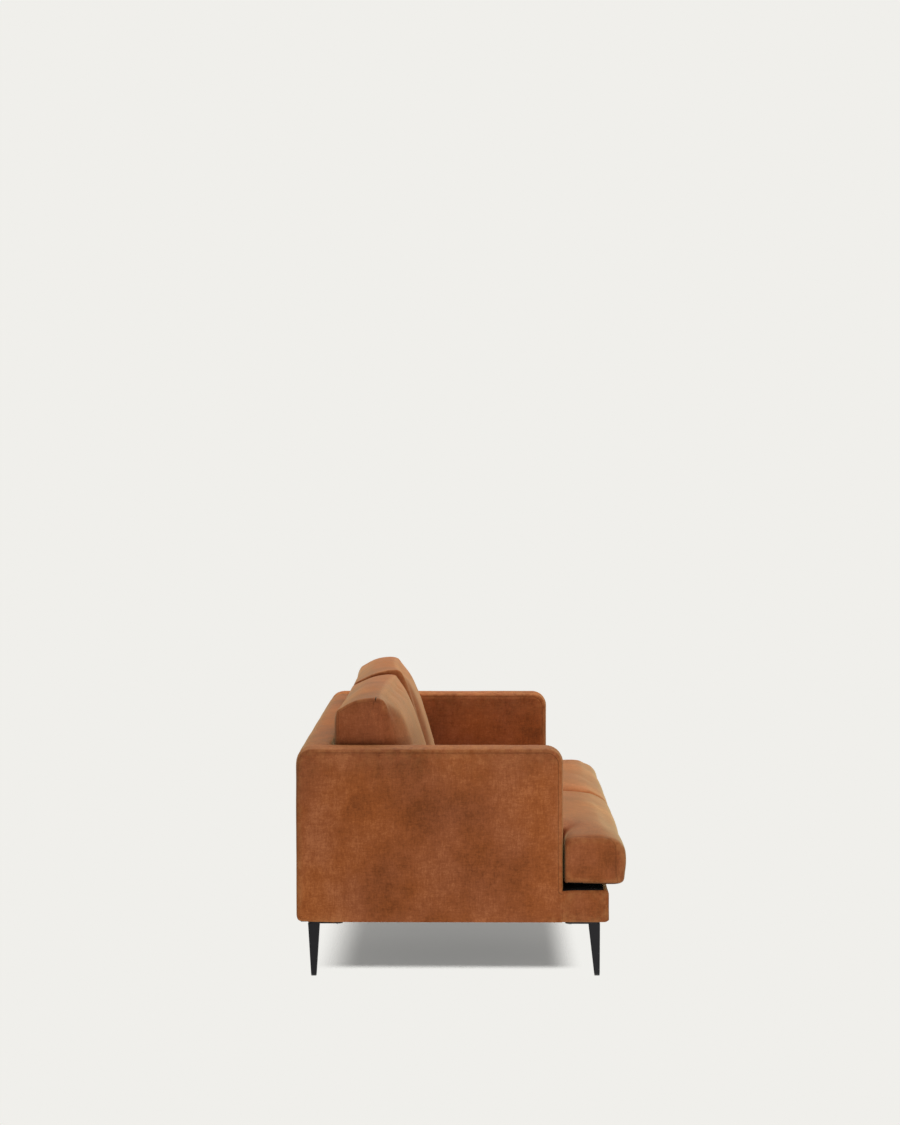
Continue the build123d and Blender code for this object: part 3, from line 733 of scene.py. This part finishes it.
class Nodes:
    """Shorthands for placing and joining nodes in one tree."""

    def __init__(self, tree):
        self.tree = tree

    def join(self, source, socket):
        if isinstance(source, bpy.types.NodeSocket):
            self.tree.links.new(source, socket)
        elif source is not None:
            socket.default_value = source

    def add(self, kind, **inputs):
        """Places a node and sets or joins its inputs, named with _ for a space."""
        node = self.tree.nodes.new(f"ShaderNode{kind}")
        self.enter(node, inputs)
        return node

    def enter(self, node, inputs):
        for label, value in inputs.items():
            self.join(value, node.inputs[label.replace("_", " ")])

    def coords(self):
        return self.add("TexCoord").outputs["Object"]

    def split(self, vector):
        return self.add("SeparateXYZ", Vector=vector).outputs

    def attribute(self, name):
        node = self.add("Attribute")
        node.attribute_name = name
        return node.outputs["Fac"]

    def scaled(self, vector, scale):
        return self.add("Mapping", Vector=vector, Scale=scale).outputs["Vector"]

    def noise(self, vector, scale, detail, rough):
        node = self.add("TexNoise", Vector=vector, Scale=scale, Detail=detail, Roughness=rough)
        return node.outputs["Fac"]

    def math(self, kind, a, b=None, clamp=False):
        node = self.add("Math")
        node.operation, node.use_clamp = kind, clamp
        self.join(a, node.inputs[0])
        self.join(b, node.inputs[1])
        return node.outputs[0]

    def blend(self, a, share_a, b, share_b, clamp=False):
        parts = self.math("MULTIPLY", a, share_a), self.math("MULTIPLY", b, share_b)
        return self.math("ADD", *parts, clamp=clamp)

    def span(self, value, low, high, to_low=0.0, to_high=1.0):
        node = self.add("MapRange", Value=value, From_Min=low, From_Max=high)
        self.enter(node, {"To Min": to_low, "To Max": to_high})
        node.interpolation_type = "SMOOTHSTEP"
        return node.outputs["Result"]

    def mix(self, share, a, b, kind="MIX"):
        node = self.add("Mix")
        node.data_type, node.blend_type = "RGBA", kind
        self.join(share, node.inputs[0])
        self.join(a, node.inputs[6])
        self.join(b, node.inputs[7])
        return node.outputs[2]

    def bump(self, height, strength, distance):
        node = self.add("Bump", Height=height, Strength=strength, Distance=distance)
        return node.outputs["Normal"]

    def group(self, group, **inputs):
        node = self.add("Group")
        node.node_tree = group
        self.enter(node, inputs)
        return node.outputs


BLACK = (0, 0, 0, 1)  # stands in until a material gives its own colour
SURFACE = [("Color", "Color"), ("Roughness", "Float"), ("Height", "Float")]


def nubuck_group():
    """Cloudy brushed hide: large soft patches, smaller blotches and short threads both ways."""
    group, given, out = new_group(
        "brushed_hide",
        [
            ("Dark", "Color", BLACK),
            ("Middle", "Color", BLACK),
            ("Light", "Color", BLACK),
            ("Patch Scale", "Float", 9.0),
        ],
        SURFACE,
    )
    n = Nodes(group)
    place, patch = n.coords(), given["Patch Scale"]
    clouds = n.noise(place, patch, 1.0, 0.5)
    blotches = n.noise(place, n.math("MULTIPLY", patch, 3.2), 6.0, 0.85)

    def runs(long, thin, low, high):
        """Short strokes along each of the three ways, averaged."""
        total = None
        for way in range(3):
            stretch = [thin] * 3
            stretch[way] = long
            run = n.span(n.noise(n.scaled(place, stretch), 1.0, 2.0, 0.6), low, high)
            total = run if total is None else n.math("ADD", total, run)
        return n.math("MULTIPLY", total, 1 / 3)

    strokes = runs(22, 150, 0.34, 0.66)
    threads = runs(70, 520, 0.36, 0.66)
    grain = n.noise(place, 900.0, 2.0, 0.6)
    tone = 0.5
    for part, share in (
        (clouds, 0.52), (blotches, 0.64), (strokes, 0.13), (threads, 0.16), (grain, 0.10),
    ):
        tone = n.math("ADD", tone, n.math("MULTIPLY", n.math("SUBTRACT", part, 0.5), share))
    low = n.mix(n.span(tone, 0.28, 0.52), given["Dark"], given["Middle"])
    color = n.mix(n.span(tone, 0.48, 0.70), low, given["Light"])
    drift = n.span(n.noise(place, n.math("MULTIPLY", patch, 1.6), 4.0, 0.6), 0.34, 0.66)
    hue = n.mix(drift, (1.025, 0.99, 0.84, 1), (0.975, 1.01, 1.17, 1))
    n.join(n.mix(1.0, color, hue, "MULTIPLY"), out["Color"])
    n.join(n.span(tone, 0.3, 0.7, 0.62, 0.78), out["Roughness"])
    n.join(n.blend(threads, 0.5, grain, 0.5), out["Height"])
    return group


def seam_group():
    """Sewn crease where the distance given is near zero: a dark line of painted shade and the dip
    beside it.
    """
    group, given, out = new_group(
        "sewn_seam",
        [("Distance", "Float", 1.0), ("Width", "Float", 0.0016)],
        [("Crease", "Float"), ("Dip", "Float")],
    )
    n = Nodes(group)
    away, width = n.math("ABSOLUTE", given["Distance"]), given["Width"]
    core, wide = n.math("MULTIPLY", width, 0.3), n.math("MULTIPLY", width, 4.0)
    n.join(n.span(away, core, width, 1.0, 0.0), out["Crease"])
    n.join(n.span(away, 0.0, wide, 1.0, 0.0), out["Dip"])
    return group


def wear_and_highlight_group():
    """Broken wear and painted highlight where the surface bends outwards, and wear where hands
    rest.
    """
    group, given, out = new_group("wear_and_highlight_edge", [("Amount", "Float", 0.5)], [("Mask", "Float")])
    n = Nodes(group)
    broken = n.span(n.noise(n.coords(), 46.0, 4.0, 0.65), 0.34, 0.66)
    mask = n.math("MULTIPLY", n.math("MULTIPLY", n.attribute("wear_and_highlight"), broken), given["Amount"])
    n.join(mask, out["Mask"])
    return group


def timber_group():
    """Sawn softwood: growth rings cut along the grain, with fine pores."""
    group, given, out = new_group(
        "sawn_timber",
        [("Stretch", "Vector", (1, 1, 1)), ("Early", "Color", BLACK), ("Late", "Color", BLACK)],
        SURFACE,
    )
    n = Nodes(group)
    along = n.scaled(n.coords(), given["Stretch"])
    rings = n.math("FRACT", n.math("MULTIPLY", n.noise(along, 9.0, 2.0, 0.4), 9.0))
    late = n.span(rings, 0.45, 0.95)
    pores = n.noise(along, 130.0, 3.0, 0.6)
    tone = n.blend(late, 0.7, pores, 0.3, clamp=True)
    n.join(n.mix(tone, given["Early"], given["Late"]), out["Color"])
    n.join(n.span(pores, 0.3, 0.7, 0.55, 0.75), out["Roughness"])
    n.join(n.blend(late, 0.4, pores, 0.6), out["Height"])
    return group


def weave_group():
    """Plain cloth: crossing threads with slubs."""
    group, given, out = new_group(
        "plain_cloth",
        [("Pitch", "Float", 0.002), ("Thread", "Color", BLACK), ("Gap", "Color", BLACK)],
        SURFACE,
    )
    n = Nodes(group)
    place = n.coords()
    turn = n.math("DIVIDE", FULL_TURN, given["Pitch"])
    x, y, z = (n.math("SINE", n.math("MULTIPLY", way, turn)) for way in n.split(place))
    weave = n.math("ABSOLUTE", n.math("MULTIPLY", n.math("ADD", x, z), y))
    slubs = n.noise(place, 240.0, 3.0, 0.6)
    high = n.blend(weave, 0.5, slubs, 0.5, clamp=True)
    n.join(n.mix(high, given["Gap"], given["Thread"]), out["Color"])
    n.join(n.span(slubs, 0.3, 0.7, 0.75, 0.95), out["Roughness"])
    n.join(high, out["Height"])
    return group


def coat_group():
    """Fine unevenness of a sprayed or moulded surface, with faint handling marks."""
    group, given, out = new_group(
        "fine_coat",
        [("Base", "Color", BLACK), ("Worn", "Color", BLACK), ("Gloss", "Float", 0.45)],
        SURFACE,
    )
    n = Nodes(group)
    place = n.coords()
    marks = n.noise(place, 38.0, 5.0, 0.62)
    peel = n.noise(place, 1400.0, 2.0, 0.5)
    n.join(n.mix(n.span(marks, 0.45, 0.8), given["Base"], given["Worn"]), out["Color"])
    rough = n.math("ADD", given["Gloss"], n.math("MULTIPLY", n.math("SUBTRACT", marks, 0.5), 0.22))
    n.join(rough, out["Roughness"])
    n.join(peel, out["Height"])
    return group


hide, seam, edge_wear_and_highlight = nubuck_group(), seam_group(), wear_and_highlight_group()
timber, cloth_weave, coat = timber_group(), weave_group(), coat_group()

# ------------ materials


def new_material(name):
    """A material with one Principled shader, and a hand for its nodes."""
    material = bpy.data.materials.new(name)
    material.use_nodes = True
    return material, Nodes(material.node_tree), material.node_tree.nodes["Principled BSDF"].inputs


def hide_material(name, tones, seam_shade, nap, nap_tint, with_dart=False):
    """Tan brushed leather cloth, sewn along the piece's seams with shade painted in them, and
    lighter on its edges: part wear, part painted highlight.
    """
    material, n, shader = new_material(name)
    dark, middle, light = tones
    skin = n.group(hide, Dark=dark, Middle=middle, Light=light, Patch_Scale=3.4)
    sewn = n.group(seam, Distance=n.attribute("seam"))
    crease, dip = (n.math("MULTIPLY", sewn[part], seam_shade) for part in ("Crease", "Dip"))
    if with_dart:
        pleat = n.group(seam, Distance=n.attribute("dart"), Width=0.0026)
        crease = n.math("MAXIMUM", crease, pleat["Crease"])
        dip = n.math("MAXIMUM", dip, pleat["Dip"])
    # Edges painted lighter: wear, and a painted highlight on outward bends
    wear_and_highlight_mask = n.group(edge_wear_and_highlight, Amount=0.40)["Mask"]
    color = n.mix(wear_and_highlight_mask, skin["Color"], WEAR_AND_HIGHLIGHT_TAN)
    # Seams and the dart get painted shade in their creases
    n.join(n.mix(crease, color, SEAM_SHADE_BROWN), shader["Base Color"])
    n.join(skin["Roughness"], shader["Roughness"])
    height = n.math("SUBTRACT", n.math("MULTIPLY", skin["Height"], 0.10), dip)
    n.join(n.bump(height, 0.55, 0.0022), shader["Normal"])
    shader["Specular IOR Level"].default_value = 0.04
    shader["Sheen Weight"].default_value = nap
    shader["Sheen Roughness"].default_value = 0.42
    shader["Sheen Tint"].default_value = nap_tint
    return material


def one_group_material(name, group, strength, depth, shine=0.5, **values):
    """A material whose colour, roughness and bumps all come from one group."""
    material, n, shader = new_material(name)
    made = n.group(group, **values)
    n.join(made["Color"], shader["Base Color"])
    n.join(made["Roughness"], shader["Roughness"])
    n.join(n.bump(made["Height"], strength, depth), shader["Normal"])
    shader["Specular IOR Level"].default_value = shine
    return material


def cloth_material(name, thread, gap, pitch, depth):
    return one_group_material(
        name, cloth_weave, 0.6, depth, 0.05, Pitch=pitch, Thread=(*thread, 1), Gap=(*gap, 1)
    )


def timber_material(name, stretch):
    early, late = (0.56, 0.38, 0.20, 1), (0.33, 0.17, 0.07, 1)
    return one_group_material(name, timber, 0.35, 0.0008, Stretch=stretch, Early=early, Late=late)


def coat_material(name, base, wear_and_highlight_mask, gloss, metal, depth, shine=0.5):
    material = one_group_material(
        name, coat, 0.3, depth, shine, Base=(*base, 1), Worn=(*wear_and_highlight_mask, 1), Gloss=gloss
    )
    shader = material.node_tree.nodes["Principled BSDF"].inputs
    shader["Metallic"].default_value = metal
    return material


def board_material():
    """Thin fibreboard: pressed flecks."""
    material, n, shader = new_material("fibreboard")
    place = n.coords()
    flecks = n.noise(place, 320.0, 5.0, 0.7)
    sheets = n.noise(place, 14.0, 3.0, 0.5)
    tone = n.blend(flecks, 0.7, sheets, 0.3)
    dark, light = (0.20, 0.11, 0.05, 1), (0.36, 0.22, 0.11, 1)
    n.join(n.mix(n.span(tone, 0.35, 0.65), dark, light), shader["Base Color"])
    n.join(n.span(flecks, 0.3, 0.7, 0.6, 0.8), shader["Roughness"])
    n.join(n.bump(flecks, 0.3, 0.0005), shader["Normal"])
    return material


TANS = ((0.188, 0.0545, 0.0178, 1), (0.322, 0.093, 0.0295, 1), (0.478, 0.160, 0.0535, 1))
# Lighter, lower-contrast copy of the tans for the cushions, painting in how light makes their tops
# look lighter and plainer
PAINTED_LIT_TANS = ((0.218, 0.0635, 0.0208, 1), (0.336, 0.0985, 0.0325, 1), (0.476, 0.157, 0.0530, 1))
# Lighter tan, for wear and for a highlight painted on outward bends
WEAR_AND_HIGHLIGHT_TAN = (0.50, 0.21, 0.075, 1)
# Colour of the shade painted in seam and dart creases
SEAM_SHADE_BROWN = (0.030, 0.012, 0.006, 1)
KHAKI, OCHRE = (0.95, 0.88, 0.48, 1), (1.0, 0.74, 0.30, 1)  # of the nap
arm_hide = hide_material("tan_hide_arms", TANS, 0.46, 0.18, OCHRE)
back_hide = hide_material("tan_hide_back", TANS, 0.46, 0.36, KHAKI)
seat_hide = hide_material("tan_hide_seats", PAINTED_LIT_TANS, 0.25, 0.42, KHAKI)
pillow_hide = hide_material("tan_hide_back_cushions", PAINTED_LIT_TANS, 0.22, 0.32, KHAKI, with_dart=True)
# Black cloth of the deck, also painted as shade on the front box's top and the seat cushions'
# undersides
lining_and_painted_shade = cloth_material("black_lining_and_painted_shade", (0.020, 0.019, 0.019), (0.006,) * 3, 0.0016, 0.0004)
under_cloth = cloth_material(
    "black_dust_cloth", (0.016, 0.016, 0.017), (0.005,) * 3, 0.0011, 0.0003
)
strap_cloth = cloth_material(
    "elastic_webbing", (0.10, 0.085, 0.07), (0.025, 0.022, 0.02), 0.0042, 0.0008
)
pine_x = timber_material("pine_along_x", (0.10, 1.0, 1.0))
pine_y = timber_material("pine_along_y", (1.0, 0.10, 1.0))
pine_z = timber_material("pine_upright", (1.0, 1.0, 0.10))
fibreboard = board_material()
leg_coat = coat_material(
    "satin_black_coat", (0.0078, 0.0074, 0.0092), (0.013, 0.0125, 0.015), 0.50, 0.0, 0.00025, 0.2
)
zinc = coat_material("zinc_plated_steel", (0.52, 0.53, 0.54), (0.38,) * 3, 0.36, 1.0, 0.00015)
nylon = coat_material("black_nylon", (0.010,) * 3, (0.022,) * 3, 0.50, 0.0, 0.0003)

# ------------ pieces onto their bodies


def finish_soft(piece, body, slot, material, fill, *stood_for, handled=OUT_OF_REACH):
    """Gives a soft piece its material and body, and hides the solids that it stands for; slot is
    not used.
    """
    mark_wear_and_highlight(piece, handled)
    piece.data.materials.clear()
    piece.data.materials.append(material)
    make_active(piece)
    bpy.ops.object.shade_smooth_by_angle(angle=SHARP_TURN)
    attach(piece, body)
    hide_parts(*stood_for)


def paint_shade_on_faces(piece, material, test):
    """Covers the faces of a finished piece that pass a test with another material; used to paint
    shade as black cloth.
    """
    piece.data.materials.append(material)
    for face in piece.data.polygons:
        if test(face):
            face.material_index = 1


left_arm = arm_upholstery()
right_arm = mirrored(left_arm, "right_arm_upholstery")
for side, piece in (("left", left_arm), ("right", right_arm)):
    stood_for = f"{side}_arm_cover", f"{side}_arm_foam"
    finish_soft(piece, "frame", "upholstery", arm_hide, 1.0, *stood_for, handled=arm_high.z)
back = back_upholstery()
finish_soft(back, "frame", "upholstery", back_hide, 1.0, "back_cover", "back_foam")
front_box = front_box_upholstery()
finish_soft(front_box, "frame", "upholstery", arm_hide, 1.0, "front_box_cover", "front_box_foam")
# Behind its leather lip, the front box's top is painted black as the shade in the gap under the
# seat cushion's ear
behind_lip = box_low.y + BOX_LIP
paint_shade_on_faces(front_box, lining_and_painted_shade, lambda f: f.normal.z > 0.9 and f.center.y > behind_lip)
finish_soft(deck_pad(), "frame", "foam", lining_and_painted_shade, 0.9, "seat_deck")

left_seat = seat_cushion()
right_seat = mirrored(left_seat, "right_seat_cushion_sewn")
left_pillow = back_cushion("left_back_cushion_sewn", LEFT_SPLIT)
right_pillow = back_cushion("right_back_cushion_sewn", RIGHT_SPLIT)
send_right(right_pillow)
for side, seat, pillow in (("left", left_seat, left_pillow), ("right", right_seat, right_pillow)):
    settle(pillow, seat)
    finish_soft(seat, f"{side}_seat_cushion", "upholstery", seat_hide, 0.85, f"{side}_seat_cushion")
    # The seat cushion's underside is painted black as the shade in the gap under it
    paint_shade_on_faces(seat, lining_and_painted_shade, lambda f: f.normal.z < -0.85)
    stood_for = f"{side}_back_cushion_cover", f"{side}_back_cushion_filling"
    finish_soft(pillow, f"{side}_back_cushion", "upholstery", pillow_hide, 0.7, *stood_for)

FINISHES = (
    (("front_leg", "back_leg"), leg_coat),
    (("leg_glides",), nylon),
    (("leg_screws", "frame_bolts"), zinc),
    (("dust_cover",), under_cloth),
    (("webbing",), strap_cloth),
    (("board",), fibreboard),
    (("post", "leg_block"), pine_z),
    (("side_rail", "centre_rail", "arm_bottom_rail", "arm_top_rail"), pine_y),
    (("rail",), pine_x),
)
for name, node in nodes.items():
    if node.hide_render:
        continue
    finish = next(material for words, material in FINISHES if any(word in name for word in words))
    node.data.materials.clear()
    node.data.materials.append(finish)

# ------------ floor, light and camera

PALE = (0.871, 0.863, 0.831, 1)  # the backdrop
FLOOR_GLOW, ROOM_GLOW = (0.58, 0.58, 0.58, 1), (0.26, 0.26, 0.26, 1)


def pale_floor():
    """Pale floor that holds the soft shadow under the sofa and fades into the backdrop round it."""
    bpy.ops.object.select_all(action="DESELECT")
    bpy.ops.mesh.primitive_circle_add(vertices=96, radius=5.0, fill_type="NGON", location=(0, 0, 0))
    floor = bpy.context.object
    floor.name = "floor"
    material, n, shader = new_material("pale_floor")
    n.join(PALE, shader["Base Color"])
    n.join(0.9, shader["Roughness"])
    shader["Specular IOR Level"].default_value = 0.0
    x, y, _ = n.split(n.coords())
    off_centre = n.math("ABSOLUTE", x)
    fades = n.span(off_centre, 0.725, 0.805, 1.0, 0.0)
    along = n.math("MULTIPLY", n.span(off_centre, 0.0, 0.65, 0.70, 0.77), fades)
    behind = n.span(y, 0.30, 0.45, 1.0, 0.0)
    ahead = n.span(y, -0.36, -0.25, 0.0, 1.0)
    from_above = n.math("SUBTRACT", 1.0, n.add("NewGeometry").outputs["Backfacing"])
    shown = n.math("MULTIPLY", along, n.math("MULTIPLY", behind, ahead))
    n.join(n.math("MULTIPLY", shown, from_above), shader["Alpha"])
    floor.data.materials.append(material)


def backdrop():
    """Soft light, most of it off the floor, behind one pale colour for camera and reflections."""
    world = bpy.data.worlds.new("studio")
    bpy.context.scene.world = world
    world.use_nodes = True
    n = Nodes(world.node_tree)
    background = world.node_tree.nodes["Background"].inputs
    path = n.add("LightPath").outputs
    seen = n.math("MAXIMUM", path["Is Camera Ray"], path["Is Glossy Ray"])
    seen = n.math("MAXIMUM", seen, path["Is Transmission Ray"])
    _, _, up = n.split(n.add("TexCoord").outputs["Generated"])
    around = n.mix(n.span(up, -0.25, 0.25), FLOOR_GLOW, ROOM_GLOW)
    n.join(n.mix(seen, around, PALE), background["Color"])
    n.join(1.0, background["Strength"])


def aim(data, place, direction):
    """Sets up a lamp or a camera at its place, pointing in a direction."""
    holder = bpy.data.objects.new(data.name, data)
    bpy.context.scene.collection.objects.link(holder)
    holder.location = place
    holder.rotation_mode = "QUATERNION"
    holder.rotation_quaternion = Vector(direction).to_track_quat("-Z", "Y")
    return holder


def soft_lamp(name, place, target, size, power):
    lamp = bpy.data.lights.new(name, "AREA")
    lamp.shape, lamp.size, lamp.size_y = "RECTANGLE", *size
    lamp.energy = power
    aim(lamp, place, Vector(target) - Vector(place))


pale_floor()
backdrop()
soft_lamp("overhead", (1.15, -0.2, 3.4), (0.1, 0, 0.3), (3.2, 3.2), 124)
soft_lamp("camera_side", (-4.4, -1.9, 0.42), (0, 0, 0.4), (3.0, 0.9), 68)

camera = bpy.data.cameras.new("photo_camera")
camera.sensor_fit, camera.sensor_height, camera.lens = "VERTICAL", 36.0, 79.22
bpy.context.scene.camera = aim(camera, (-7.9897, -0.0380, 1.4785), (1, 0.00998, -0.03994))
bpy.context.scene.view_settings.view_transform = "Standard"
